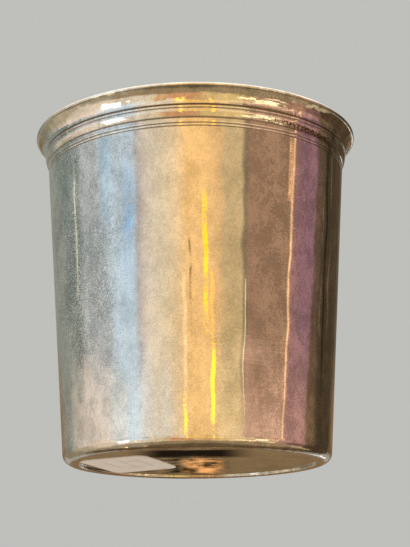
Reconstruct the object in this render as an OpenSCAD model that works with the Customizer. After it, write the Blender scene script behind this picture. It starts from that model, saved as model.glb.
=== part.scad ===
/* [Cup] */
// Height from the table to the top of the lip
cup_h = 80; // [70:0.5:100]
// Thickness of the silver sheet
wall_t = 0.7; // [0.6:0.05:1.2]

/* [Lip] */
// Outer diameter over the lip's rounded edge
lip_d = 78.6; // [72:0.1:86]
// How far the lip stands out from the wall's line at its seam
lip_overhang = 2.85; // [2:0.05:4]
// Height of the lip above its seam
lip_h = 4.4; // [3.5:0.1:6]
// Thickness of the lip's rounded edge
lip_bead_d = 0.9; // [0.8:0.05:1.4]
// Length of the lip's spigot inside the wall
spigot_h = 0.6; // [0.5:0.05:0.8]
// Thickness of the lip's spigot
spigot_t = 0.35; // [0.25:0.05:0.4]

/* [Turned lines] */
// Radius of the round-bottomed lines turned into the wall
line_r = 0.16; // [0.1:0.01:0.2]
// Radius of the deeper line at the lip's seam
seam_line_r = 0.22; // [0.15:0.01:0.25]
// Width of the narrow reed below the lip's seam
upper_reed_w = 0.75; // [0.7:0.05:1.5]
// Height of the rounded band below the upper reed
band_w = 2.1; // [1:0.05:4]
// How far the rounded band and the upper reed stand out from the wall
band_out = 0.6; // [0.3:0.05:1]
// Width of the middle reed
middle_reed_w = 1.2; // [0.6:0.05:2]
// Width of the lowest reed
lower_reed_w = 0.7; // [0.6:0.05:2]

/* [Foot] */
// Height of the foot ring's seam, measured along the wall
foot_h = 2.4; // [2.1:0.1:5]
// Radius of the rounded foot corner
foot_corner_r = 2.2; // [1.5:0.1:2.4]
// Inner diameter of the ring that the cup stands on
recess_d = 55.5; // [50:0.1:62]
// Width of the foot, from that ring's inner edge to the wall's line at the table
foot_w = 3.65; // [3.3:0.05:5]
// Rounding of the ring's inner edge
ring_edge_r = 0.35; // [0.2:0.05:0.4]
// Depth of the recess under the base disc
recess_h = 0.5; // [0.5:0.05:0.9]

/* [Base] */
// Width of the ledge in the foot ring that carries the base disc
ledge_w = 1.7; // [1.2:0.05:1.9]
// Thickness of the base disc
disc_t = 0.8; // [0.6:0.05:1.2]
// Rise of the disc's dome at its centre
dome_h = 0.8; // [0.4:0.1:2]
// Gap that the solder fills around the disc and the spigot
solder_gap = 0.05; // [0.03:0.01:0.08]
// Radius of the solder fillet inside the cup
fillet_r = 1.8; // [1.4:0.1:2.2]

/* [Label] */
// Short side of the paper label
label_w = 16.4; // [10:0.1:18]
// Long side of the paper label
label_l = 25; // [12:0.1:26]
// Thickness of the label's paper
label_t = 0.12; // [0.1:0.01:0.2]
// Radius of the label's corners
label_corner_r = 2.6; // [1:0.1:3]
// Distance of the label's middle from the edge of the recess
label_inset = 10.6; // [10.4:0.1:27]
// Direction of the label's middle, as an angle from +X
label_side = 162; // [0:1:359]
// Turn of the label about its own middle
label_turn = -18.5; // [-45:0.1:45]

/* [Hidden] */
$fn = 120;
// Facets of the dome's wide circle, of which the disc takes a few degrees
dome_facets = 1440;
// Growth of a rounding's circle, so that its arc crosses the flats instead of grazing them
arc_slack = 0.001;
silver = [0.80, 0.77, 0.72];
old_silver = [0.70, 0.66, 0.60];
solder_grey = [0.62, 0.60, 0.57];
paper_white = [0.93, 0.91, 0.88];

// The wall: its line from the foot to the lip's seam, its lean and its length along the outer face
recess_r = recess_d / 2;
lip_r = lip_d / 2;
wall_base_r = recess_r + foot_w;
wall_top_r = lip_r - lip_overhang;
seam_z = cup_h - lip_h;
lean = atan((wall_top_r - wall_base_r) / seam_z);
wall_len = seam_z / cos(lean);

// The rounded band: a quarter round that runs out into the wall's face, and the depth of each line below it
ovolo_r = (band_w * band_w + band_out * band_out) / (2 * band_out);
band_foot = upper_reed_w + band_w;
face_line_drops = [band_foot, band_foot + middle_reed_w, band_foot + middle_reed_w + lower_reed_w];

// A point of the section, given its distance up the wall's outer face and its depth inside that face
function wall_point(up, depth) = [
    wall_base_r + up * sin(lean) - depth * cos(lean),
    up * cos(lean) + depth * sin(lean)
];

// The lip: an arc inside and an arc outside, from the seam to the rounded edge, in the wall's slanted frame.
// Each leaves the seam along the wall and passes the middle of the edge at half the sheet's thickness.
bead_r = lip_bead_d / 2;
bead_reach = lip_r - bead_r - wall_base_r;
bead_z = cup_h - bead_r;
bead_x = bead_reach * cos(lean) - bead_z * sin(lean);
bead_y = bead_reach * sin(lean) + bead_z * cos(lean) - wall_len;
under_dx = bead_x - band_out;
under_r = (under_dx * under_dx + bead_y * bead_y - wall_t * wall_t / 4) / (wall_t + 2 * under_dx);
inside_dx = bead_x + wall_t;
inside_r = (inside_dx * inside_dx + bead_y * bead_y - wall_t * wall_t / 4) / (2 * inside_dx - wall_t);
lip_sweep = atan2(bead_y, inside_r - inside_dx);

// The foot: its corner arc touches the table and the wall's outer face
corner_x = wall_base_r + foot_corner_r * tan(lean) - foot_corner_r / cos(lean);

// The base disc: a flat rim in the pocket and a spherical dome inside the ring
pocket_r = recess_r + ledge_w;
disc_top = recess_h + disc_t;
dome_r = (recess_r * recess_r + dome_h * dome_h) / (2 * dome_h);

// The solder fillet: its arc touches the disc's rim and the wall's inner face
floor_up = (disc_top - wall_t * sin(lean)) / cos(lean);
floor_corner = wall_point(floor_up, wall_t);
fillet_reach = fillet_r * (1 / cos(lean) - tan(lean));
fillet_mid = [floor_corner[0] - fillet_reach, disc_top + fillet_r];
fillet_end = fillet_mid + fillet_r * [cos(lean), -sin(lean)];

// Draw in the wall's slanted frame: y runs up the outer face, and -x is the sheet's depth
module on_wall() {
    translate([wall_base_r, 0])
        rotate(-lean)
            children();
}

// The sector between two directions, out to a reach that clears what it cuts
module sector(reach, from, to) {
    middle = (from + to) / 2;
    polygon([
        [0, 0],
        reach * [cos(from), sin(from)],
        reach * [cos(middle), sin(middle)],
        reach * [cos(to), sin(to)]
    ]);
}

// What a rounded edge takes off a sharp corner, drawn about the middle of its arc
module rounding(r, from, to) {
    difference() {
        sector(3 * r, from, to);
        circle(r = r + arc_slack);
    }
}

// The section of everything under the dome's lower face, or under that face lifted
module dome_fill(lift) {
    intersection() {
        translate([0, recess_h + dome_h - dome_r + lift])
            circle(r = dome_r, $fn = dome_facets);
        square([recess_r, disc_top + dome_h]);
    }
}

// The turned lines: the deep one at the lip's seam, one above the rounded band, and three in the wall's face
module turned_lines() {
    translate([band_out, wall_len])
        circle(r = seam_line_r);
    translate([band_out, wall_len - upper_reed_w])
        circle(r = line_r);
    for (drop = face_line_drops)
        translate([0, wall_len - drop])
            circle(r = line_r);
}

// The rounded band and the upper reed, rooted in the middle of the sheet
module band_section() {
    translate([-wall_t / 2, wall_len - upper_reed_w - line_r / 2])
        square([wall_t / 2 + band_out, upper_reed_w + line_r / 2]);
    intersection() {
        translate([band_out - ovolo_r, wall_len - upper_reed_w])
            circle(r = ovolo_r);
        translate([-wall_t / 2, wall_len - band_foot])
            square([wall_t + band_out, band_w]);
    }
}

module cup_wall_section() {
    on_wall()
        difference() {
            union() {
                translate([-wall_t, foot_h])
                    square([wall_t, wall_len - foot_h]);
                band_section();
            }
            translate([-wall_t, wall_len - spigot_h])
                square([spigot_t, spigot_h]);
            turned_lines();
        }
}

module rim_moulding_section() {
    on_wall()
        difference() {
            union() {
                translate([0, wall_len])
                    difference() {
                        translate([inside_r - wall_t, 0])
                            intersection() {
                                circle(r = inside_r);
                                sector(3 * inside_r, 180 - lip_sweep, 180);
                            }
                        translate([band_out + under_r, 0])
                            circle(r = under_r);
                    }
                translate([bead_x, wall_len + bead_y])
                    circle(r = bead_r);
                translate([-wall_t, wall_len - spigot_h])
                    square([spigot_t - solder_gap, spigot_h]);
            }
            turned_lines();
        }
}

module foot_ring_section() {
    difference() {
        polygon([
            [recess_r, 0],
            [wall_base_r, 0],
            wall_point(foot_h, 0),
            wall_point(foot_h, wall_t),
            floor_corner,
            [pocket_r, disc_top],
            [pocket_r, recess_h],
            [recess_r, recess_h]
        ]);
        translate([corner_x, foot_corner_r])
            rounding(foot_corner_r, -90, -lean);
        translate([recess_r + ring_edge_r, ring_edge_r])
            rounding(ring_edge_r, 180, 270);
    }
}

module base_disc_section() {
    difference() {
        dome_fill(disc_t);
        dome_fill(0);
    }
    translate([recess_r, recess_h])
        square([pocket_r - solder_gap - recess_r, disc_t]);
}

module solder_fillet_section() {
    difference() {
        polygon([[fillet_mid[0], disc_top], floor_corner, fillet_end, fillet_mid]);
        translate(fillet_mid)
            circle(r = fillet_r);
    }
}

module label_outline() {
    inner_w = label_w - 2 * label_corner_r;
    inner_l = label_l - 2 * label_corner_r;
    square([inner_w, label_l], center = true);
    square([label_w, inner_l], center = true);
    for (x = [-inner_w / 2, inner_w / 2])
        for (y = [-inner_l / 2, inner_l / 2])
            translate([x, y])
                circle(r = label_corner_r);
}

module cup_wall() {
    color(silver)
        rotate_extrude()
            cup_wall_section();
}

module rim_moulding() {
    color(silver)
        rotate_extrude()
            rim_moulding_section();
}

module foot_ring() {
    color(old_silver)
        rotate_extrude()
            foot_ring_section();
}

module base_disc() {
    color(old_silver)
        rotate_extrude()
            base_disc_section();
}

module solder_fillet() {
    color(solder_grey)
        rotate_extrude()
            solder_fillet_section();
}

module paper_label() {
    color(paper_white)
        difference() {
            intersection() {
                rotate(label_side)
                    translate([recess_r - label_inset, 0])
                        rotate(label_turn - label_side)
                            linear_extrude(disc_top)
                                label_outline();
                rotate_extrude()
                    dome_fill(0);
            }
            rotate_extrude()
                dome_fill(-label_t);
        }
}

cup_wall();
rim_moulding();
foot_ring();
base_disc();
solder_fillet();
paper_label();
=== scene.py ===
import math

import bpy
from mathutils import Matrix, Vector


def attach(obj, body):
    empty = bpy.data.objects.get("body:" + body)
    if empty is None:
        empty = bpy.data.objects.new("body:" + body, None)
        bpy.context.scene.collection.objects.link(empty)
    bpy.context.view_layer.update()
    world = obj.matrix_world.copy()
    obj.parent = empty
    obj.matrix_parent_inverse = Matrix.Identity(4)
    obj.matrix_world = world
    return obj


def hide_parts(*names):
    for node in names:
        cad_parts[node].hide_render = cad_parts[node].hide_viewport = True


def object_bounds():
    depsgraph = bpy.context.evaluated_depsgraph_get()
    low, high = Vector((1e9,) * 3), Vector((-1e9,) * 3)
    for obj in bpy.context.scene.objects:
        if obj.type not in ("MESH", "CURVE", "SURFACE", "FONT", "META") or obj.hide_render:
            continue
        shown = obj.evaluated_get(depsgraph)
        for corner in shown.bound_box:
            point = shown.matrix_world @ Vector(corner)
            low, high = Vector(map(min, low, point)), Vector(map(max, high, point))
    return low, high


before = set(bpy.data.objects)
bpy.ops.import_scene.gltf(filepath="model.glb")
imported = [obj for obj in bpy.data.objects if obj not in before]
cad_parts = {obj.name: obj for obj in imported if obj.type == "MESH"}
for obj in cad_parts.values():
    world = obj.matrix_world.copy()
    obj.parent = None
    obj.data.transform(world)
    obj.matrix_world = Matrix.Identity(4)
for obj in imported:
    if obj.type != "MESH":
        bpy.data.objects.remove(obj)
cad_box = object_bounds()

# Cup wall
# A sleeve of sheet silver that leans outwards, hammered true and turned on a lathe.
# The rounded band and the fine lines under its mouth are turned from the sheet. One side has gone hazy.
MM = 0.001
MERGE_REACH = MM / 5000
SHARP_ANGLE = math.radians(32)
LATHE_STEPS = 256
FACE_STEPS = 14
LINE_STEPS = 8
BAND_STEPS = 12
SEAM_STEPS = 5

lip_r = cad_box[1].x
cup_h = cad_box[1].z
sheet_t = 0.7 * MM
lip_overhang = 2.85 * MM
lip_h = 4.4 * MM
recess_r = 27.75 * MM
foot_w = 3.65 * MM
foot_h = 2.4 * MM
spigot_h = 0.6 * MM
spigot_t = 0.35 * MM
line_r = 0.16 * MM
seam_line_r = 0.22 * MM
upper_reed_w = 0.75 * MM
band_w = 2.1 * MM
band_out = 0.6 * MM
middle_reed_w = 1.2 * MM
lower_reed_w = 0.7 * MM
reed_edge_r = 1.8 * MM
reed_edge_degrees = 12

wall_base_r = recess_r + foot_w
seam_z = cup_h - lip_h
lean = math.atan((lip_r - lip_overhang - wall_base_r) / seam_z)
wall_len = seam_z / math.cos(lean)
upper_line = wall_len - upper_reed_w
band_line = upper_line - band_w
middle_line = band_line - middle_reed_w
low_line = middle_line - lower_reed_w


def on_wall(out, up):
    """A point of the section, from how far it stands out of the wall's face and its distance up that face."""
    return (wall_base_r + up * math.sin(lean) + out * math.cos(lean),
            up * math.cos(lean) - out * math.sin(lean))


def arc(middle, radius, start, end, steps):
    """Points along an arc of the section, from one direction to another in degrees."""
    turns = [math.radians(start + (end - start) * i / steps) for i in range(steps + 1)]
    return [(middle[0] + radius * math.cos(t), middle[1] + radius * math.sin(t)) for t in turns]


def straight(start, end, steps):
    """Points along a straight stretch of the section."""
    return [(start[0] + (end[0] - start[0]) * i / steps, start[1] + (end[1] - start[1]) * i / steps)
            for i in range(steps + 1)]


def lathe(name, outline):
    """Walk one vertex along the outline by extrusion, then spin that line round the cup's axis."""
    bpy.ops.object.select_all(action="DESELECT")
    bpy.ops.mesh.primitive_plane_add(size=MM)
    piece = bpy.context.object
    piece.name = name
    bpy.ops.object.mode_set(mode="EDIT")
    bpy.ops.mesh.select_all(action="SELECT")
    bpy.ops.mesh.merge(type="CENTER")
    bpy.ops.transform.translate(value=(outline[0][0], 0, outline[0][1]))
    for here, there in zip(outline, outline[1:]):
        step = (there[0] - here[0], 0, there[1] - here[1])
        bpy.ops.mesh.extrude_vertices_move(TRANSFORM_OT_translate={"value": step})
    bpy.ops.mesh.select_all(action="SELECT")
    bpy.ops.mesh.remove_doubles(threshold=MERGE_REACH)
    bpy.ops.mesh.select_all(action="SELECT")
    bpy.ops.mesh.spin(steps=LATHE_STEPS, angle=math.tau, center=(0, 0, 0), axis=(0, 0, 1))
    bpy.ops.mesh.select_all(action="SELECT")
    bpy.ops.mesh.remove_doubles(threshold=MERGE_REACH)
    bpy.ops.mesh.normals_make_consistent(inside=False)
    bpy.ops.object.mode_set(mode="OBJECT")
    bpy.ops.object.shade_smooth_by_angle(angle=SHARP_ANGLE)
    return piece


def slanted(points):
    """Turn points given in the wall's slanted frame into points of the section."""
    return [on_wall(out, up) for out, up in points]


def line_and_reed(face, up):
    """A turned line and the reed above it, whose lower edge polishing has rounded."""
    edge_turn = math.radians(reed_edge_degrees)
    drop = reed_edge_r * (1 - math.cos(edge_turn))
    shoulder = math.asin(drop / line_r)
    edge_mid = up + line_r * math.cos(shoulder) + reed_edge_r * math.sin(edge_turn)
    return (arc((face, up), line_r, 270, 90 + math.degrees(shoulder), LINE_STEPS)
            + arc((face - reed_edge_r, edge_mid), reed_edge_r, -reed_edge_degrees, 0, LINE_STEPS))


ovolo_r = (band_w ** 2 + band_out ** 2) / (2 * band_out)
ovolo_mid = (band_out - ovolo_r, upper_line)
ovolo_foot = -math.degrees(math.asin((band_w - line_r) / ovolo_r))
ovolo_head = -math.degrees(math.asin(line_r / ovolo_r))
rebate_face = spigot_t - sheet_t
wall_outside = straight((0, foot_h), (0, low_line - line_r), FACE_STEPS)
wall_outside += line_and_reed(0, low_line) + line_and_reed(0, middle_line)
wall_outside += arc((0, band_line), line_r, 270, 90, LINE_STEPS)[:-1]
wall_outside += arc(ovolo_mid, ovolo_r, ovolo_foot, ovolo_head, BAND_STEPS)
wall_outside += line_and_reed(band_out, upper_line)
wall_outside += arc((band_out, wall_len), seam_line_r, 270, 180, SEAM_STEPS)
wall_inside = [(rebate_face, wall_len), (rebate_face, wall_len - spigot_h)]
wall_inside += straight((-sheet_t, wall_len - spigot_h), (-sheet_t, foot_h), FACE_STEPS)
cup_wall = lathe("silver_cup_wall", slanted(wall_outside + wall_inside + [(0, foot_h)]))

# Dark patina in the turned lines, deepest at the lip's seam
LINE_DIRT = 0.7
SEAM_DIRT = 0.9
LINE_SLACK = 1.02


def mark_recesses(piece, lines):
    """Store how dark each vertex of a turned line has gone: 0 on the face, the line's share at its bottom."""
    depth = piece.data.attributes.new("recess", "FLOAT", "POINT")
    for vertex in piece.data.vertices:
        out = math.hypot(vertex.co.x, vertex.co.y) - wall_base_r
        here = Vector((out * math.cos(lean) - vertex.co.z * math.sin(lean),
                       out * math.sin(lean) + vertex.co.z * math.cos(lean)))
        for face, up, radius, share in lines:
            reach = here - Vector((face, up))
            if reach.length < radius * LINE_SLACK:
                depth.data[vertex.index].value = share * max(0, -reach.x / radius)


mark_recesses(cup_wall, [(0, up, line_r, LINE_DIRT) for up in (low_line, middle_line, band_line)]
              + [(band_out, upper_line, line_r, LINE_DIRT), (band_out, wall_len, seam_line_r, SEAM_DIRT)])

# Old grime that polishing has left in the hollow under the rounded band, between two bearings on the right.
# The same marks also carry painted shade in that hollow.
grime_shade_from, grime_shade_full, grime_shade_fades, grime_shade_to = 14, 36, 56, 68
clear_band_share = 0.45
grime_shade_low_r, grime_shade_low_z = on_wall(0, band_line)
grime_shade_top_z = on_wall(0, upper_line - band_w * clear_band_share)[1]
grime_and_shade_marks = cup_wall.data.attributes.new("grime_and_shade", "FLOAT", "POINT")
for vertex in cup_wall.data.vertices:
    side = math.degrees(math.atan2(vertex.co.x, -vertex.co.y))
    if grime_shade_low_z < vertex.co.z < grime_shade_top_z and vertex.co.xy.length > grime_shade_low_r:
        rising = (side - grime_shade_from) / (grime_shade_full - grime_shade_from)
        falling = (grime_shade_to - side) / (grime_shade_to - grime_shade_fades)
        grime_and_shade_marks.data[vertex.index].value = max(0, min(1, rising, falling))


def new_group(name, inputs, outputs):
    """A shader node group with its sockets, and its two end nodes."""
    tree = bpy.data.node_groups.new(name, "ShaderNodeTree")
    for socket in inputs:
        tree.interface.new_socket(socket, in_out="INPUT", socket_type="NodeSocketFloat")
    for socket, kind in outputs:
        tree.interface.new_socket(socket, in_out="OUTPUT", socket_type=kind)
    return tree, tree.nodes.new("NodeGroupInput"), tree.nodes.new("NodeGroupOutput")


def add_node(tree, kind, settings=(), values=(), links=()):
    """A node with its settings, the values of its unlinked inputs, and the sockets that feed it."""
    made = tree.nodes.new(kind)
    for name, value in dict(settings).items():
        setattr(made, name, value)
    for socket, value in dict(values).items():
        made.inputs[socket].default_value = value
    for socket, source in dict(links).items():
        tree.links.new(source, made.inputs[socket])
    return made


def math_node(tree, operation, first, second):
    """One sum on two sockets or numbers."""
    made = add_node(tree, "ShaderNodeMath", {"operation": operation})
    for slot, item in enumerate((first, second)):
        if isinstance(item, bpy.types.NodeSocket):
            tree.links.new(item, made.inputs[slot])
        else:
            made.inputs[slot].default_value = item
    return made.outputs[0]


def spread(tree, source, low, high, to_low=0.0, to_high=1.0):
    """A value mapped smoothly from one range to another and held at the ends."""
    made = add_node(tree, "ShaderNodeMapRange", {"interpolation_type": "SMOOTHSTEP"},
                    {"From Min": low, "From Max": high, "To Min": to_low, "To Max": to_high},
                    {"Value": source})
    return made.outputs["Result"]


def noise(tree, vector, scale, detail, roughness=0.55):
    """Cloudy noise on a vector, as a value about one half."""
    made = add_node(tree, "ShaderNodeTexNoise", (),
                    {"Scale": scale, "Detail": detail, "Roughness": roughness}, {"Vector": vector})
    return made.outputs["Fac"]


def blend(tree, share, first, second):
    """One colour turned into another by a share; each is a socket or a colour."""
    made = add_node(tree, "ShaderNodeMix", {"data_type": "RGBA"}, (), {0: share})
    for slot, item in ((6, first), (7, second)):
        if isinstance(item, bpy.types.NodeSocket):
            tree.links.new(item, made.inputs[slot])
        else:
            made.inputs[slot].default_value = (*item, 1)
    return made.outputs[2]


def stretched(tree, vector, factors):
    """A vector with each of its parts multiplied by a factor."""
    made = add_node(tree, "ShaderNodeVectorMath", {"operation": "MULTIPLY"}, {1: factors}, {0: vector})
    return made.outputs[0]


def length_of(tree, vector):
    """The length of a vector."""
    made = add_node(tree, "ShaderNodeVectorMath", {"operation": "LENGTH"}, (), {0: vector})
    return made.outputs["Value"]


def parts_of(tree, vector):
    """The sockets X, Y and Z of a vector."""
    return add_node(tree, "ShaderNodeSeparateXYZ", (), (), {0: vector}).outputs


# Fine rings that turning and polishing leave: noise stretched round the axis, which runs along the section
RING_STRETCH = 0.02
turning_marks, _, ends = new_group("turning_marks", [], [("Height", "NodeSocketFloat")])
place = add_node(turning_marks, "ShaderNodeTexCoord").outputs["Object"]
parts = parts_of(turning_marks, place)
from_axis = length_of(turning_marks, stretched(turning_marks, place, (1, 1, 0)))
rings = add_node(turning_marks, "ShaderNodeCombineXYZ", (), (), {
    "X": math_node(turning_marks, "MULTIPLY", parts["X"], RING_STRETCH),
    "Y": math_node(turning_marks, "MULTIPLY", parts["Y"], RING_STRETCH),
    "Z": math_node(turning_marks, "ADD", from_axis, parts["Z"])})
turning_marks.links.new(noise(turning_marks, rings.outputs[0], scale=2200, detail=4), ends.inputs["Height"])

# Shallow waves that the hammer leaves in the sheet
hammer_waves, _, ends = new_group("hammer_waves", [], [("Height", "NodeSocketFloat")])
place = add_node(hammer_waves, "ShaderNodeTexCoord").outputs["Object"]
hammer_waves.links.new(noise(hammer_waves, place, scale=75, detail=1.2), ends.inputs["Height"])

# Small dents and nicks that years of use leave, deepest on the lip and the foot
small_dents, _, ends = new_group("small_dents", [], [("Height", "NodeSocketFloat")])
place = add_node(small_dents, "ShaderNodeTexCoord").outputs["Object"]
nicks = noise(small_dents, place, scale=230, detail=1.2)
small_dents.links.new(spread(small_dents, nicks, low=0.3, high=0.7), ends.inputs["Height"])

# Grey haze of tarnish: drifting clouds broken into patches and grains, thicker where the amount is higher
tarnish_haze, starts, ends = new_group("tarnish_haze", ["Amount"], [
    ("Haze", "NodeSocketFloat"), ("Grain", "NodeSocketFloat"), ("Patch", "NodeSocketFloat")])
place = add_node(tarnish_haze, "ShaderNodeTexCoord").outputs["Object"]
drawn = stretched(tarnish_haze, place, (1, 1, 0.4))
clouds = noise(tarnish_haze, drawn, scale=110, detail=6, roughness=0.65)
thicker = math_node(tarnish_haze, "SUBTRACT", starts.outputs["Amount"], 0.5)
cover = math_node(tarnish_haze, "ADD", clouds, thicker)
flecks = stretched(tarnish_haze, place, (1, 1, 1.5))
grains = noise(tarnish_haze, flecks, scale=2400, detail=2, roughness=0.6)
rubbed = stretched(tarnish_haze, place, (1, 1, 0.7))
patches = noise(tarnish_haze, rubbed, scale=150, detail=6, roughness=0.82)
tarnish_haze.links.new(spread(tarnish_haze, cover, low=0.30, high=0.75), ends.inputs["Haze"])
tarnish_haze.links.new(spread(tarnish_haze, grains, low=0.34, high=0.68), ends.inputs["Grain"])
tarnish_haze.links.new(spread(tarnish_haze, patches, low=0.38, high=0.64), ends.inputs["Patch"])

PALE_TARNISH = (1.0, 1.0, 0.97)
DARK_TARNISH = (0.38, 0.41, 0.39)
# Dark patina of the lines; the same colour also paints the shade with the grime under the rounded band
PATINA_AND_SHADE = (0.15, 0.095, 0.055)
THIN_TARNISH = 0.6
THICK_TARNISH = 0.9
GRAIN_SHARE = 0.45
HAZE_ROUGHNESS = 0.24
HAZE_METAL = 0.78
DIRT_ROUGHNESS = 0.2
TURNED_SHEEN = 0.2
SHEEN_TURN = 0.25
haze_starts = -6 * MM
haze_full = -26 * MM
blotches_start = 9 * MM
blotches_full = 17 * MM


def silver_material(name, bright, toned, polish, haze_right, haze_left, wave_depth, dent_depth, mark_depth):
    """Old polished silver: toned in clouds, hazy with tarnish, dark in its lines, ringed by the lathe."""
    material = bpy.data.materials.new(name)
    material.use_nodes = True
    tree = material.node_tree
    shader = tree.nodes["Principled BSDF"]
    place = add_node(tree, "ShaderNodeTexCoord").outputs["Object"]
    sideways = parts_of(tree, place)["X"]

    tone = spread(tree, noise(tree, place, scale=55, detail=3), low=0.35, high=0.7)
    amount = spread(tree, sideways, haze_starts, haze_full, haze_right, haze_left)
    haze = add_node(tree, "ShaderNodeGroup", {"node_tree": tarnish_haze}, (), {"Amount": amount}).outputs
    mottle = math_node(tree, "ADD", math_node(tree, "MULTIPLY", haze["Grain"], GRAIN_SHARE),
                       math_node(tree, "MULTIPLY", haze["Patch"], 1 - GRAIN_SHARE))
    even = blend(tree, mottle, DARK_TARNISH, PALE_TARNISH)
    blotched = blend(tree, spread(tree, mottle, low=0.22, high=0.78), DARK_TARNISH, PALE_TARNISH)
    tarnish = blend(tree, spread(tree, sideways, blotches_start, blotches_full), even, blotched)
    tarnished = spread(tree, haze["Haze"], 0, 1, THIN_TARNISH, THICK_TARNISH)
    colour = blend(tree, tarnished, blend(tree, tone, bright, toned), tarnish)

    recess = add_node(tree, "ShaderNodeAttribute", {"attribute_name": "recess"}).outputs["Fac"]
    grime_and_shade = add_node(tree, "ShaderNodeAttribute", {"attribute_name": "grime_and_shade"}).outputs["Fac"]
    specks = spread(tree, noise(tree, place, scale=1900, detail=3), low=0.44, high=0.56)
    # Darkening mask: patina in the lines, and grime with painted shade in the hollow under the rounded band
    dirt_and_shade = math_node(tree, "MAXIMUM", recess, math_node(tree, "MULTIPLY", grime_and_shade, specks))
    colour = blend(tree, spread(tree, dirt_and_shade, low=0.05, high=0.9), colour, PATINA_AND_SHADE)
    tree.links.new(colour, shader.inputs["Base Color"])

    dull = math_node(tree, "MULTIPLY", haze["Haze"], haze["Grain"])
    rough = spread(tree, dull, 0, 1, polish, HAZE_ROUGHNESS)
    rough = math_node(tree, "ADD", rough, math_node(tree, "MULTIPLY", dirt_and_shade, DIRT_ROUGHNESS))
    tree.links.new(rough, shader.inputs["Roughness"])
    tree.links.new(spread(tree, dull, 0, 1, 1, HAZE_METAL), shader.inputs["Metallic"])
    shader.inputs["Anisotropic"].default_value = TURNED_SHEEN
    shader.inputs["Anisotropic Rotation"].default_value = SHEEN_TURN

    fed_by = {}
    for relief, depth in ((hammer_waves, wave_depth), (small_dents, dent_depth), (turning_marks, mark_depth)):
        fed_by["Height"] = add_node(tree, "ShaderNodeGroup", {"node_tree": relief}).outputs["Height"]
        bump = add_node(tree, "ShaderNodeBump", (), {"Strength": 1, "Distance": depth}, fed_by)
        fed_by["Normal"] = bump.outputs["Normal"]
    tree.links.new(fed_by["Normal"], shader.inputs["Normal"])
    return material


BRIGHT_SILVER = (0.89, 0.86, 0.81)
WARM_SILVER = (0.84, 0.77, 0.66)
cup_wall.data.materials.append(silver_material(
    "turned_silver", BRIGHT_SILVER, WARM_SILVER, polish=0.03, haze_right=0.32, haze_left=0.68,
    wave_depth=0.2 * MM, dent_depth=0.001 * MM, mark_depth=0.004 * MM))
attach(cup_wall, "root")
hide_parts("cup_wall")

# Flared lip
# A separate moulding of the same silver, turned out in a quarter curve to a thin rounded edge.
# Its spigot drops inside the wall and is soldered there, so the seam shows as the deepest of the lines.
bead_r = 0.45 * MM
solder_gap = 0.05 * MM
LIP_STEPS = 24
BEAD_STEPS = 24

bead_reach = lip_r - bead_r - wall_base_r
bead_z = cup_h - bead_r
bead_out = bead_reach * math.cos(lean) - bead_z * math.sin(lean)
bead_up = bead_reach * math.sin(lean) + bead_z * math.cos(lean) - wall_len
under_reach = bead_out - band_out
inside_reach = bead_out + sheet_t
under_r = (under_reach ** 2 + bead_up ** 2 - sheet_t ** 2 / 4) / (sheet_t + 2 * under_reach)
inside_r = (inside_reach ** 2 + bead_up ** 2 - sheet_t ** 2 / 4) / (2 * inside_reach - sheet_t)
bead_bite = math.sqrt(bead_r ** 2 - sheet_t ** 2 / 4)
under_turn = math.degrees(math.atan2(bead_up, under_r - under_reach) - bead_bite / under_r)
inside_turn = math.degrees(math.atan2(bead_up, inside_r - inside_reach) - bead_bite / inside_r)
under_start = math.degrees(math.asin(seam_line_r / under_r))

lip_under = arc((band_out + under_r, wall_len), under_r, 180 - under_start, 180 - under_turn, LIP_STEPS)
lip_inside = arc((inside_r - sheet_t, wall_len), inside_r, 180 - inside_turn, 180, LIP_STEPS)
bead_mid = (bead_out, wall_len + bead_up)
bead_from = math.degrees(math.atan2(lip_under[-1][1] - bead_mid[1], lip_under[-1][0] - bead_mid[0]))
bead_to = math.degrees(math.atan2(lip_inside[0][1] - bead_mid[1], lip_inside[0][0] - bead_mid[0]))
spigot_face = spigot_t - solder_gap - sheet_t
lip_outline = [(spigot_face, wall_len - spigot_h), (spigot_face, wall_len)]
lip_outline += arc((band_out, wall_len), seam_line_r, 180, 90, SEAM_STEPS)
lip_outline += lip_under
lip_outline += arc(bead_mid, bead_r, bead_from, bead_to + 360 * (bead_to < bead_from), BEAD_STEPS)[1:-1]
lip_outline += lip_inside
lip_outline += [(-sheet_t, wall_len - spigot_h), (spigot_face, wall_len - spigot_h)]
lip = lathe("silver_lip", slanted(lip_outline))
mark_recesses(lip, [(band_out, wall_len, seam_line_r, SEAM_DIRT)])
lip.data.materials.append(silver_material(
    "polished_lip_silver", BRIGHT_SILVER, WARM_SILVER, polish=0.05, haze_right=0.20, haze_left=0.30,
    wave_depth=0.2 * MM, dent_depth=0.1 * MM, mark_depth=0.002 * MM))
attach(lip, "root")
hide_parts("rim_moulding")

# Foot ring
# A ring of the same silver with a rounded outer corner, soldered under the wall.
# The cup stands on its narrow flat, which years of use have worn and nicked.
foot_corner_r = 2.2 * MM
ring_edge_r = 0.35 * MM
recess_h = 0.5 * MM
ledge_w = 1.7 * MM
disc_t = 0.8 * MM
EDGE_STEPS = 8
CORNER_STEPS = 20

corner_x = wall_base_r + foot_corner_r * math.tan(lean) - foot_corner_r / math.cos(lean)
pocket_r = recess_r + ledge_w
disc_top = recess_h + disc_t
floor_up = (disc_top - sheet_t * math.sin(lean)) / math.cos(lean)
floor_corner = on_wall(-sheet_t, floor_up)

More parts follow.
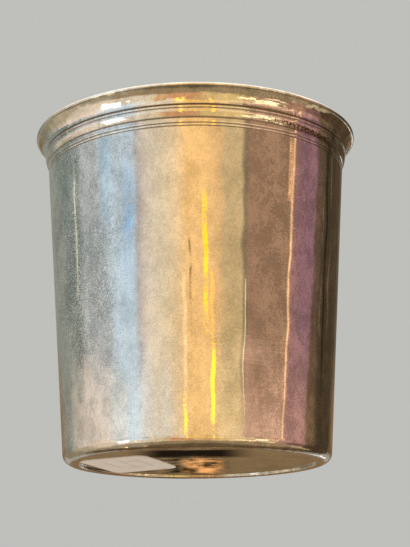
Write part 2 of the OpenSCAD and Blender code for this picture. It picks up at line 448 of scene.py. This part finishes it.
foot_outline = [(recess_r, recess_h)]
foot_outline += arc((recess_r + ring_edge_r, ring_edge_r), ring_edge_r, 180, 270, EDGE_STEPS)
foot_outline += arc((corner_x, foot_corner_r), foot_corner_r, -90, -math.degrees(lean), CORNER_STEPS)
foot_outline += [on_wall(0, foot_h), on_wall(-sheet_t, foot_h), floor_corner]
foot_outline += [(pocket_r, disc_top), (pocket_r, recess_h), (recess_r, recess_h)]
foot = lathe("silver_foot_ring", foot_outline)
FOOT_SILVER = (0.83, 0.77, 0.69)
FOOT_TONING = (0.70, 0.60, 0.48)
foot.data.materials.append(silver_material(
    "worn_foot_silver", FOOT_SILVER, FOOT_TONING, polish=0.09, haze_right=0.20, haze_left=0.35,
    wave_depth=0.22 * MM, dent_depth=0.1 * MM, mark_depth=0.003 * MM))
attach(foot, "root")
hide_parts("foot_ring")

# Base disc
# A disc of silver sheet, slightly domed so that it can't rock, let into the foot ring from above.
# Its underside is polished and toned, with the rings that its polishing left.
dome_h = 0.8 * MM
DOME_STEPS = 24

dome_r = (recess_r ** 2 + dome_h ** 2) / (2 * dome_h)
dome_turn = math.degrees(math.asin(recess_r / dome_r))
disc_edge_r = pocket_r - solder_gap
disc_outline = arc((0, recess_h + dome_h - dome_r), dome_r, 90, 90 - dome_turn, DOME_STEPS)
disc_outline += [(disc_edge_r, recess_h), (disc_edge_r, disc_top)]
disc_outline += arc((0, disc_top + dome_h - dome_r), dome_r, 90 - dome_turn, 90, DOME_STEPS)
base_disc = lathe("silver_base_disc", disc_outline)
BASE_SILVER = (0.80, 0.74, 0.64)
BASE_TONING = (0.64, 0.55, 0.40)
base_disc.data.materials.append(silver_material(
    "toned_base_silver", BASE_SILVER, BASE_TONING, polish=0.03, haze_right=0.20, haze_left=0.25,
    wave_depth=0.05 * MM, dent_depth=0.0005 * MM, mark_depth=0.0015 * MM))
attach(base_disc, "root")
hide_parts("base_disc")

# Solder fillet
# Hard silver solder, run round the inside of the base while hot, so that it draws into a hollow fillet.
# It seals the disc to the foot ring and the wall, and stays duller than the polished sheet.
fillet_r = 1.8 * MM
FILLET_STEPS = 14

fillet_reach = fillet_r * (1 / math.cos(lean) - math.tan(lean))
fillet_mid = (floor_corner[0] - fillet_reach, disc_top + fillet_r)
fillet_outline = [(fillet_mid[0], disc_top), floor_corner]
fillet_outline += arc(fillet_mid, fillet_r, -math.degrees(lean), -90, FILLET_STEPS)
fillet = lathe("solder_fillet_ring", fillet_outline)
SOLDER = (0.72, 0.70, 0.66)
SOLDER_TONING = (0.60, 0.57, 0.52)
fillet.data.materials.append(silver_material(
    "hard_solder_silver", SOLDER, SOLDER_TONING, polish=0.28, haze_right=0.45, haze_left=0.55,
    wave_depth=0.12 * MM, dent_depth=0.03 * MM, mark_depth=0.004 * MM))
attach(fillet, "root")
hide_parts("solder_fillet")

# Paper label
# A small price label of white paper with round corners, stuck to the underside of the base.
# It follows the hollow of the disc, and carries nothing but three faint ruled lines.
label_w = 16.4 * MM
label_l = 25 * MM
label_t = 0.12 * MM
label_corner_r = 2.6 * MM
label_inset = 10.6 * MM
label_side = math.radians(162)
label_turn = math.radians(-18.5)
LABEL_CUTS = 12
LABEL_CORNER_STEPS = 8

bpy.ops.object.select_all(action="DESELECT")
bpy.ops.mesh.primitive_plane_add(size=1)
label = bpy.context.object
label.name = "paper_price_label"
bpy.ops.object.mode_set(mode="EDIT")
bpy.ops.mesh.select_all(action="SELECT")
bpy.ops.transform.resize(value=(label_w, label_l, 1))
bpy.ops.mesh.bevel(offset=label_corner_r, segments=LABEL_CORNER_STEPS, affect="VERTICES")
for i in range(1, LABEL_CUTS):
    share = i / LABEL_CUTS - 0.5
    for direction, length in (((1, 0, 0), label_w), ((0, 1, 0), label_l)):
        bpy.ops.mesh.select_all(action="SELECT")
        bpy.ops.mesh.bisect(plane_co=Vector(direction) * length * share, plane_no=direction)
bpy.ops.mesh.select_all(action="SELECT")
bpy.ops.transform.rotate(value=-label_turn, orient_axis="Z", center_override=(0, 0, 0))
label_reach = recess_r - label_inset
label_mid = (label_reach * math.cos(label_side), label_reach * math.sin(label_side), 0)
bpy.ops.transform.translate(value=label_mid)
bpy.ops.object.mode_set(mode="OBJECT")
wrap = label.modifiers.new("lie on the disc", "SHRINKWRAP")
wrap.target = base_disc
wrap.wrap_method = "PROJECT"
wrap.use_project_z = True
wrap.use_positive_direction = True
bpy.ops.object.modifier_apply(modifier=wrap.name)
thicken = label.modifiers.new("paper thickness", "SOLIDIFY")
thicken.thickness = label_t
thicken.offset = -1
bpy.ops.object.modifier_apply(modifier=thicken.name)
bpy.ops.object.mode_set(mode="EDIT")
bpy.ops.mesh.select_all(action="SELECT")
bpy.ops.mesh.normals_make_consistent(inside=False)
bpy.ops.object.mode_set(mode="OBJECT")
bpy.ops.object.shade_smooth_by_angle(angle=SHARP_ANGLE)

PAPER_WHITE = (0.86, 0.84, 0.81)
PAPER_SHADE = (0.74, 0.71, 0.66)
RULE_GREY = (0.42, 0.39, 0.37)
RULE_INK = 0.6
RULES = 3
PAPER_ROUGHNESS = 0.85
rule_gap = 4 * MM
rule_w = 0.35 * MM
rule_l = 12 * MM
rule_blur = rule_w / 10
felt_depth = 0.01 * MM
paper = bpy.data.materials.new("white_label_paper")
paper.use_nodes = True
tree = paper.node_tree
shader = tree.nodes["Principled BSDF"]
place = add_node(tree, "ShaderNodeTexCoord").outputs["Object"]
fibres = noise(tree, place, scale=1800, detail=4, roughness=0.7)
stain = noise(tree, place, scale=160, detail=3)
on_label = add_node(tree, "ShaderNodeMapping", {"vector_type": "TEXTURE"},
                    {"Location": label_mid, "Rotation": (0, 0, label_turn)}, {"Vector": place})
across, along, _ = parts_of(tree, on_label.outputs[0])
from_rule = math_node(tree, "PINGPONG", math_node(tree, "ABSOLUTE", across, 0), rule_gap / 2)
printed = spread(tree, from_rule, rule_w / 2 + rule_blur, rule_w / 2 - rule_blur)
for way, reach in ((across, rule_gap * RULES / 2), (along, rule_l / 2)):
    inside = spread(tree, math_node(tree, "ABSOLUTE", way, 0), reach, reach - rule_w / 2)
    printed = math_node(tree, "MULTIPLY", printed, inside)
paper_colour = blend(tree, spread(tree, stain, low=0.45, high=0.8), PAPER_WHITE, PAPER_SHADE)
paper_colour = blend(tree, math_node(tree, "MULTIPLY", printed, RULE_INK), paper_colour, RULE_GREY)
tree.links.new(paper_colour, shader.inputs["Base Color"])
shader.inputs["Roughness"].default_value = PAPER_ROUGHNESS
felt = add_node(tree, "ShaderNodeBump", (), {"Strength": 1, "Distance": felt_depth}, {"Height": fibres})
tree.links.new(felt.outputs["Normal"], shader.inputs["Normal"])
label.data.materials.append(paper)
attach(label, "root")
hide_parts("paper_label")

# Floor
# A plain pale surface just under the foot, which fades into the backdrop. It shows only from above, so that
# a view from below sees the base, and the silver doesn't mirror it.
FLOOR_PALE = (0.78, 0.77, 0.75)
FLOOR_ROUGHNESS = 0.9
floor_side = 6000 * MM
floor_drop = 0.05 * MM
floor_near = 400 * MM
floor_far = 2800 * MM

bpy.ops.object.select_all(action="DESELECT")
bpy.ops.mesh.primitive_plane_add(size=floor_side, location=(0, 0, -floor_drop))
floor = bpy.context.object
floor.name = "pale_floor"
floor.visible_diffuse = floor.visible_glossy = floor.visible_transmission = floor.visible_shadow = False
floor_paint = bpy.data.materials.new("pale_floor_paint")
floor_paint.use_nodes = True
tree = floor_paint.node_tree
shader = tree.nodes["Principled BSDF"]
shader.inputs["Base Color"].default_value = (*FLOOR_PALE, 1)
shader.inputs["Roughness"].default_value = FLOOR_ROUGHNESS
place = add_node(tree, "ShaderNodeTexCoord").outputs["Object"]
away = length_of(tree, place)
under = add_node(tree, "ShaderNodeNewGeometry").outputs["Backfacing"]
gone = math_node(tree, "MAXIMUM", under, spread(tree, away, floor_near, floor_far))
clear = add_node(tree, "ShaderNodeBsdfTransparent").outputs[0]
one_sided = add_node(tree, "ShaderNodeMixShader", (), (), {0: gone, 1: shader.outputs[0], 2: clear})
tree.links.new(one_sided.outputs[0], tree.nodes["Material Output"].inputs["Surface"])
floor.data.materials.append(floor_paint)

# Studio light
# Soft coloured cards that the silver mirrors, in four rings one under another. Each card has its bearing from
# the camera, positive to the right. Small glowing cards add the lamps and streaks that the silver shows.
# The backdrop is pale, and soft white light falls on paper and floor.
GREY_CARD = (0.28, 0.29, 0.25)
GREEN_SLATE = (0.23, 0.27, 0.25)
SLATE_CARD = (0.49, 0.52, 0.53)
BLUE_GREY_CARD = (0.60, 0.69, 0.77)
GREY_ROSE_CARD = (0.60, 0.54, 0.53)
MILK_CARD = (0.92, 0.77, 0.61)
CREAM_CARD = (0.93, 0.745, 0.51)
PEACH_CARD = (1.07, 0.77, 0.45)
GOLD_CARD = (1.17, 0.70, 0.28)
AMBER_CARD = (0.97, 0.58, 0.25)
KHAKI_CARD = (0.75, 0.52, 0.26)
DARK_EDGE = (0.31, 0.22, 0.125)
MAUVE_CARD = (0.42, 0.237, 0.142)
ORANGE_EDGE = (1.60, 0.92, 0.46)
ROSE_CARD = (0.43, 0.215, 0.185)
PURPLE_CARD = (0.31, 0.155, 0.175)
UMBER_CARD = (0.16, 0.095, 0.06)
BROWN_CARD = (0.08, 0.054, 0.03)
OLIVE_CARD = (0.20, 0.17, 0.12)
horizon_cards = [
    (-180, GREY_CARD), (-135, GREY_CARD), (-122, GREEN_SLATE), (-106, GREEN_SLATE), (-97, SLATE_CARD),
    (-76, SLATE_CARD), (-67, BLUE_GREY_CARD), (-48, BLUE_GREY_CARD), (-45.5, GREY_ROSE_CARD),
    (-37, MILK_CARD), (-26, CREAM_CARD), (-16, PEACH_CARD), (-6, GOLD_CARD), (6, GOLD_CARD),
    (17, AMBER_CARD), (23, KHAKI_CARD), (35.8, KHAKI_CARD), (37.0, DARK_EDGE), (39.3, DARK_EDGE),
    (40.2, MAUVE_CARD), (76.6, MAUVE_CARD), (77.4, ORANGE_EDGE), (78.0, ORANGE_EDGE), (78.8, ROSE_CARD),
    (88, PURPLE_CARD), (103, PURPLE_CARD), (106, UMBER_CARD), (111, UMBER_CARD), (118, BROWN_CARD),
    (150, BROWN_CARD), (172, OLIVE_CARD), (180, GREY_CARD)]
LOW_BASE = (0.25, 0.16, 0.08)
SKIRT_STRAW = (0.48, 0.43, 0.35)
SKIRT_PINK = (0.98, 0.78, 0.64)
SKIRT_PALE = (1.0, 0.97, 0.91)
SKIRT_BLUE = (0.84, 0.92, 0.97)
SKIRT_CREAM = (0.97, 0.83, 0.65)
SKIRT_GOLD = (1.10, 0.76, 0.38)
SKIRT_PEACH = (0.78, 0.45, 0.30)
SKIRT_ROSE = (0.54, 0.28, 0.24)
SKIRT_UMBER = (0.23, 0.14, 0.075)
skirt_cards = [
    (-180, LOW_BASE), (-155, LOW_BASE), (-135, GREY_CARD), (-124, SKIRT_STRAW), (-104, SKIRT_PINK),
    (-80, SKIRT_PINK), (-70, SKIRT_PALE), (-61, SKIRT_PALE), (-58, SKIRT_BLUE), (-48, SKIRT_BLUE),
    (-44, SKIRT_PALE), (-35, SKIRT_CREAM), (-24, SKIRT_CREAM), (-16, PEACH_CARD), (-6, GOLD_CARD),
    (6, GOLD_CARD), (20, SKIRT_GOLD), (34, SKIRT_GOLD), (40, SKIRT_PEACH), (76.6, SKIRT_PEACH),
    (77.4, ORANGE_EDGE), (78.0, ORANGE_EDGE), (78.8, SKIRT_ROSE), (101, SKIRT_ROSE), (106, SKIRT_UMBER),
    (114, SKIRT_UMBER), (122, BROWN_CARD), (145, BROWN_CARD), (160, LOW_BASE), (180, LOW_BASE)]
LOW_OLIVE = (0.31, 0.26, 0.17)
LOW_STRAW = (0.54, 0.44, 0.30)
LOW_CREAM = (0.88, 0.72, 0.55)
LOW_SAND = (0.94, 0.69, 0.40)
LOW_AMBER = (0.80, 0.40, 0.19)
LOW_GOLD = (0.90, 0.60, 0.25)
LOW_RUST = (0.44, 0.24, 0.14)
LOW_PURPLE = (0.25, 0.12, 0.10)
LOW_DARK = (0.095, 0.057, 0.03)
LOW_SILVER = (0.44, 0.41, 0.36)
low_cards = [
    (-180, LOW_BASE), (-174, LOW_BASE), (-170, LOW_SILVER), (-160, LOW_SILVER), (-155, LOW_OLIVE),
    (-132, LOW_OLIVE), (-122, LOW_STRAW), (-108, LOW_STRAW), (-100, LOW_CREAM), (-36, LOW_CREAM),
    (-28, LOW_SAND), (-22, LOW_AMBER), (-2, LOW_AMBER), (5, LOW_GOLD), (36, LOW_GOLD), (46, LOW_RUST),
    (86, LOW_RUST), (92, LOW_PURPLE), (106, LOW_PURPLE), (112, LOW_DARK), (147, LOW_DARK),
    (154, LOW_SILVER), (169, LOW_SILVER), (174, LOW_BASE), (180, LOW_BASE)]
NADIR_BROWN = (0.165, 0.11, 0.055)
DEEP_BACK = (0.14, 0.08, 0.036)
DEEP_STRAW = (0.42, 0.34, 0.23)
DEEP_BROWN = (0.38, 0.265, 0.145)
deep_cards = [
    (-180, DEEP_BACK), (-140, DEEP_BACK), (-115, DEEP_STRAW), (-80, DEEP_STRAW), (-55, DEEP_BROWN),
    (105, DEEP_BROWN), (130, DEEP_BACK), (180, DEEP_BACK)]
CEILING = (1.45, 1.34, 1.12)
BACKDROP = (0.52, 0.52, 0.50)
SOFT_WHITE = (0.95, 0.95, 0.95)
DIM_WARM = (0.66, 0.56, 0.46)

world = bpy.data.worlds.new("soft_studio")
bpy.context.scene.world = world
world.use_nodes = True
tree = world.node_tree
direction = add_node(tree, "ShaderNodeTexCoord").outputs["Generated"]
way = parts_of(tree, direction)
bearing = math_node(tree, "ARCTAN2", way["X"], math_node(tree, "MULTIPLY", way["Y"], -1))
height = math_node(tree, "ARCSINE", way["Z"], 0)
drift = math_node(tree, "SUBTRACT", noise(tree, direction, scale=7, detail=2), 0.5)

# The wall leans less towards the sides, as the camera sees it, so the rows of cards stand higher there
leaning = math_node(tree, "COSINE", math_node(tree, "DIVIDE", bearing, 2), 0)
rise = math_node(tree, "ADD", height, math_node(tree, "MULTIPLY", leaning, 2 * lean))

# The cards on the right slant: they stand further round at the top than at the bottom
SLANT = math.radians(3.4)
slant_low, slant_high = math.radians(4), math.radians(22)
slant = spread(tree, rise, slant_low, slant_high, -SLANT, SLANT)
for upright, slanting in ((45, 75), (170, 130)):
    share = spread(tree, bearing, math.radians(upright), math.radians(slanting))
    slant = math_node(tree, "MULTIPLY", slant, share)
card_bearing = math_node(tree, "SUBTRACT", bearing, slant)


def card_ring(cards):
    """A ring of coloured cards round the cup, each colour at its bearing in degrees, from -180 to 180."""
    around = math_node(tree, "ADD", math_node(tree, "DIVIDE", card_bearing, math.tau), 0.5)
    ramp = add_node(tree, "ShaderNodeValToRGB", (), (), {0: around})
    stops = ramp.color_ramp.elements
    for degrees, _ in cards[1:-1]:
        stops.new(degrees / 360 + 0.5)
    for stop, (_, colour) in zip(stops, cards):
        stop.color = (*colour, 1)
    return ramp.outputs["Color"]


def below(upper, lower, wander):
    """How far a direction lies below a height that wanders: 0 above the upper limit, 1 under the lower."""
    uneven = math_node(tree, "ADD", rise, math_node(tree, "MULTIPLY", drift, math.radians(wander)))
    return spread(tree, uneven, math.radians(upper), math.radians(lower))


to_skirt = below(upper=13.2, lower=8.4, wander=5)
surround = blend(tree, to_skirt, card_ring(horizon_cards), card_ring(skirt_cards))
surround = blend(tree, below(upper=2, lower=-6, wander=5), surround, card_ring(low_cards))
surround = blend(tree, below(upper=-27, lower=-39, wander=17), surround, card_ring(deep_cards))
surround = blend(tree, below(upper=-54, lower=-70, wander=12), surround, NADIR_BROWN)
surround = blend(tree, below(upper=44, lower=24, wander=6), CEILING, surround)
rays = add_node(tree, "ShaderNodeLightPath").outputs
soft_light = blend(tree, below(upper=16, lower=-4, wander=0), SOFT_WHITE, DIM_WARM)
seen = blend(tree, rays["Is Camera Ray"], soft_light, BACKDROP)
seen = blend(tree, rays["Is Glossy Ray"], seen, surround)
tree.links.new(seen, tree.nodes["Background"].inputs["Color"])

CARD_REACH = 4.0
WINDOW_WHITE = (1.0, 1.0, 0.98)
LAMP_YELLOW = (1.0, 0.62, 0.08)
LAMP_AMBER = (1.0, 0.56, 0.03)
TRAIL_GOLD = (1.50, 0.80, 0.18)
TRAIL_PEACH = (1.42, 0.96, 0.48)
LAMP_GOLD = (1.0, 0.66, 0.24)
GLINT_GLOW = (1.25, 0.76, 0.24)
SKY_BLUE = (0.52, 0.70, 0.86)
PALE_BLUE = (0.66, 0.80, 0.92)
CLEAR_BLUE = (0.42, 0.66, 0.98)
STRAW_LINE = (0.90, 0.86, 0.62)
PALE_GREY = (0.56, 0.55, 0.52)
PATCH_CREAM = (1.0, 0.80, 0.46)
OLD_GOLD = (0.58, 0.44, 0.25)
LADDER_ORANGE = (1.0, 0.52, 0.25)
PALE_LINE = (1.0, 0.80, 0.50)
OLIVE_STREAK = (0.17, 0.125, 0.07)
DARK_STREAK = (0.035, 0.022, 0.012)
SLIT_BROWN = (0.46, 0.26, 0.11)
LENS_BROWN = (0.015, 0.01, 0.006)
EMBER = (1.0, 0.46, 0.16)


def glow_card(name, at, size, colour, strength, soft=(0.25, 0.25), streaks=None, near=0):
    """A small glowing card that only the silver sees.

    Its bearing, height and size are angles in degrees from the cup. Its edges fade over a share of its size,
    a number of streaks across and up can break it, and it can hang nearer than the others."""
    turn, tilt = (math.radians(angle) for angle in at)
    out = Vector((math.sin(turn) * math.cos(tilt), -math.cos(turn) * math.cos(tilt), math.sin(tilt)))
    reach = CARD_REACH - near
    wide, tall = (reach * 2 * math.tan(math.radians(angle / 2)) for angle in size)
    bpy.ops.object.select_all(action="DESELECT")
    bpy.ops.mesh.primitive_plane_add(size=1)
    card = bpy.context.object
    card.name = name
    card.scale = (wide, tall, 1)
    card.rotation_euler = (-out).to_track_quat("Z", "Y").to_euler()
    card.location = out * reach + Vector((0, 0, cup_h / 2))
    card.visible_camera = card.visible_diffuse = card.visible_shadow = card.visible_transmission = False
    glow = bpy.data.materials.new(name + "_glow")
    glow.use_nodes = True
    glow.cycles.emission_sampling = "NONE"
    paint = glow.node_tree
    paint.nodes.remove(paint.nodes["Principled BSDF"])
    place = add_node(paint, "ShaderNodeTexCoord").outputs["UV"]
    corners = parts_of(paint, place)
    lit = 1.0
    for side, fade in zip((corners["X"], corners["Y"]), soft):
        middle = math_node(paint, "ABSOLUTE", math_node(paint, "SUBTRACT", side, 0.5), 0)
        lit = math_node(paint, "MULTIPLY", spread(paint, middle, 0.5, 0.5 - fade / 2), lit)
    if streaks:
        torn = noise(paint, stretched(paint, place, (*streaks, 1)), scale=1, detail=2)
        lit = math_node(paint, "MULTIPLY", spread(paint, torn, low=0.44, high=0.56), lit)
    light = add_node(paint, "ShaderNodeEmission", (), {"Color": (*colour, 1), "Strength": strength})
    clear = add_node(paint, "ShaderNodeBsdfTransparent").outputs[0]
    shown = add_node(paint, "ShaderNodeMixShader", (), (), {0: lit, 1: clear, 2: light.outputs[0]})
    paint.links.new(shown.outputs[0], paint.nodes["Material Output"].inputs["Surface"])
    card.data.materials.append(glow)


glow_card("window_card", at=(-62, -13.5), size=(19, 23), colour=WINDOW_WHITE, strength=2.2)
glow_card("sky_card", at=(-73, 13.8), size=(19, 6.5), colour=SKY_BLUE, strength=1.2, soft=(0.8, 0.8))
glow_card("pale_blue_card", at=(-57.5, 7.0), size=(22, 10), colour=PALE_BLUE, strength=1, soft=(0.35, 0.9))
glow_card("clear_blue_card", at=(-53, 10.5), size=(13, 5), colour=CLEAR_BLUE, strength=1.05,
          soft=(0.7, 0.9), near=0.05)
glow_card("straw_line_card", at=(-108, 12.6), size=(2.2, 6), colour=STRAW_LINE, strength=1.6,
          soft=(0.5, 0.5))
glow_card("pale_streak_card", at=(-91, 13.4), size=(6, 4), colour=PALE_GREY, strength=1, soft=(0.8, 0.8))
glow_card("upper_lamp", at=(6.8, 7.9), size=(3.6, 4.7), colour=LAMP_AMBER, strength=1.9)
glow_card("lower_lamp", at=(12.9, 2.0), size=(3.6, 4.6), colour=LAMP_AMBER, strength=2.6)
glow_card("left_lamp", at=(-10, 0.5), size=(3.0, 1.8), colour=LAMP_AMBER, strength=2.8)
glow_card("right_trail", at=(11.8, 5.9), size=(4.2, 3.2), colour=TRAIL_GOLD, strength=1,
          soft=(0.7, 0.6), near=0.05)
glow_card("left_trail", at=(-9.6, 4.6), size=(4.2, 6.4), colour=TRAIL_PEACH, strength=1,
          soft=(0.7, 0.4), near=0.05)
glow_card("glint_glow_card", at=(1, -6.5), size=(36, 12), colour=GLINT_GLOW, strength=1,
          soft=(0.5, 0.7), near=-0.05)
glow_card("right_glint", at=(12.5, -9), size=(5, 17), colour=LAMP_YELLOW, strength=2.6,
          soft=(0.5, 0.5), streaks=(3, 6))
glow_card("left_glint", at=(-10, -9), size=(4, 17), colour=LAMP_YELLOW, strength=2.4,
          soft=(0.5, 0.5), streaks=(3, 6))
glow_card("middle_glint", at=(-0.5, -9), size=(2, 17), colour=LAMP_YELLOW, strength=1.5,
          soft=(0.5, 0.5), streaks=(2, 6))
glow_card("slit_card", at=(-4.8, 7.1), size=(2.0, 2.8), colour=SLIT_BROWN, strength=1, soft=(0.6, 0.6))
glow_card("cream_card", at=(52, -19), size=(44, 34), colour=PATCH_CREAM, strength=1.85,
          soft=(0.4, 0.4), streaks=(3, 5))
glow_card("pale_line_card", at=(38.2, 4.4), size=(1.0, 7.6), colour=PALE_LINE, strength=1.2, soft=(0.4, 0.3))
glow_card("ladder_card", at=(77.2, 13.5), size=(4.6, 3.6), colour=LADDER_ORANGE, strength=1.5,
          soft=(0.3, 0.4), streaks=(0.7, 18))
glow_card("olive_streak_card", at=(117.5, 13), size=(3.6, 12), colour=OLIVE_STREAK, strength=1,
          soft=(0.5, 0.4), streaks=(0.8, 5))
glow_card("dark_streak_card", at=(123.5, 12.5), size=(3.6, 14), colour=DARK_STREAK, strength=1,
          soft=(0.5, 0.4))
glow_card("far_streak_card", at=(130.5, 14), size=(4.2, 12), colour=OLIVE_STREAK, strength=1,
          soft=(0.5, 0.4), streaks=(0.8, 4))
glow_card("foot_glint", at=(-118, -58), size=(16, 6), colour=LAMP_GOLD, strength=2.4, soft=(0.6, 0.6))
glow_card("old_gold_card", at=(108, -33), size=(44, 14), colour=OLD_GOLD, strength=1, soft=(0.7, 0.7))
glow_card("spark_card", at=(163, -18), size=(4, 13), colour=WINDOW_WHITE, strength=3.5,
          soft=(0.4, 0.4), streaks=(3, 7))
glow_card("smoke_card", at=(180.4, -10.2), size=(3.6, 7.4), colour=LENS_BROWN, strength=1,
          soft=(0.4, 0.4), streaks=(3, 11))
glow_card("ember_card", at=(179.8, -10.0), size=(1.9, 7.4), colour=EMBER, strength=1.25,
          soft=(0.7, 0.5), streaks=(2.5, 13), near=0.05)
glow_card("lens_card", at=(180.25, -5.2), size=(5.6, 4.2), colour=LENS_BROWN, strength=1,
          soft=(0.6, 0.4), near=0.1)

# Camera
# It stands in front of the cup and below its foot, looking up, as in the photograph.
PHOTO_LONG_SIDE = 547
FOCAL_PIXELS = 1351.2
camera_place = Vector((0, -317.6, -38.6)) * MM
pitch, yaw, roll = 0.2614, 0.0067, -0.0079

camera_data = bpy.data.cameras.new("camera")
camera_data.lens = FOCAL_PIXELS * camera_data.sensor_width / PHOTO_LONG_SIDE
camera_data.clip_start = 10 * MM
camera = bpy.data.objects.new("camera", camera_data)
bpy.context.scene.collection.objects.link(camera)
camera.matrix_world = (Matrix.Translation(camera_place) @ Matrix.Rotation(-yaw, 4, "Z")
                       @ Matrix.Rotation(math.pi / 2 + pitch, 4, "X") @ Matrix.Rotation(roll, 4, "Z"))
bpy.context.scene.camera = camera
bpy.context.scene.view_settings.view_transform = "Standard"
